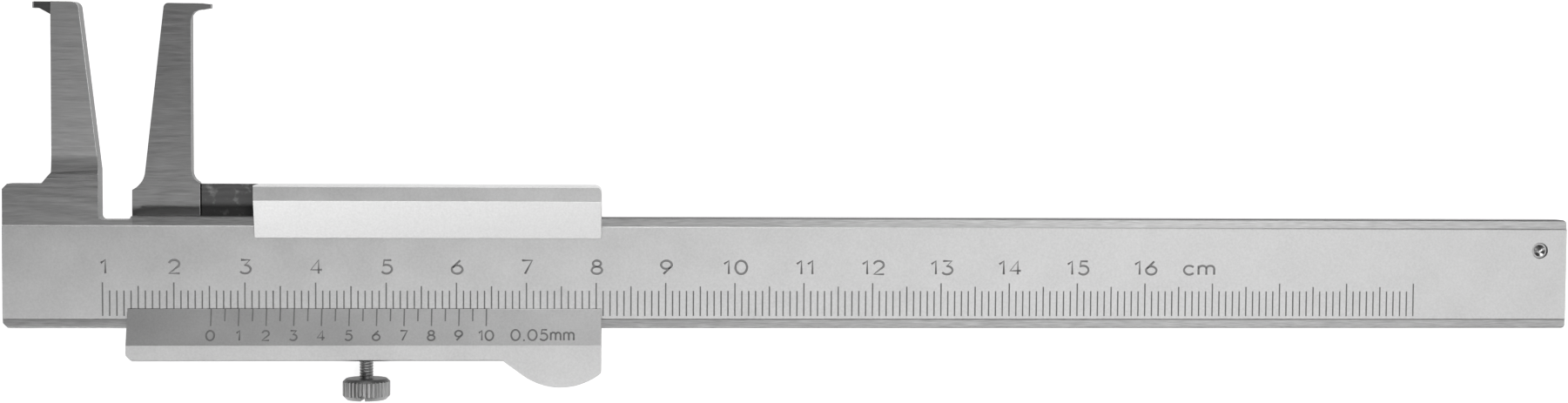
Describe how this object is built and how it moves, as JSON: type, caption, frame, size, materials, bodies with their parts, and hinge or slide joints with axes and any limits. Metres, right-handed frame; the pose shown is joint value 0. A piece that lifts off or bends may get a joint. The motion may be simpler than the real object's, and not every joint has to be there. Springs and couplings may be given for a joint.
{
  "type": "groove caliper",
  "caption": "Steel vernier caliper for inside grooves: a rule with a fixed jaw, a sliding jaw with outward tips, a gib and a knurled lock screw.",
  "frame": {"origin": "middle of the caliper's box, on the surface it lies on", "axes": "+X along the rule towards larger readings, +Y towards the jaw tips, +Z out of the graduated face"},
  "size_m": [0.227, 0.0568, 0.0073],
  "materials": {
    "satin_steel": "fine satin, matt silver grey",
    "ground_steel": "surface ground, fine lines across the jaw",
    "screw_steel": "turned and knurled",
    "pin_steel": "turned",
    "gib_bronze": "rolled strip",
    "pad_brass": "turned"
  },
  "bodies": {
    "beam": {"beam": "satin_steel", "stop_pin": "pin_steel"},
    "slider": {"slider_frame": "satin_steel", "moving_jaw": "ground_steel", "jaw_rivets": "pin_steel", "gib_strip": "gib_bronze", "gib_set_screws": "screw_steel", "clamp_pad": "pad_brass"},
    "lock_screw": {"lock_screw": "screw_steel"}
  },
  "joints": [
    {"name": "slider_slide", "type": "slide", "parent": "beam", "child": "slider", "axis": [1, 0, 0], "range_m": [-0.0153, 0.137]},
    {"name": "lock_turn", "type": "hinge", "parent": "slider", "child": "lock_screw", "pos_m": [-0.0625, -0.02538, 0.00385], "axis": [0, 1, 0], "range_deg": [-360, 60]}
  ]
}
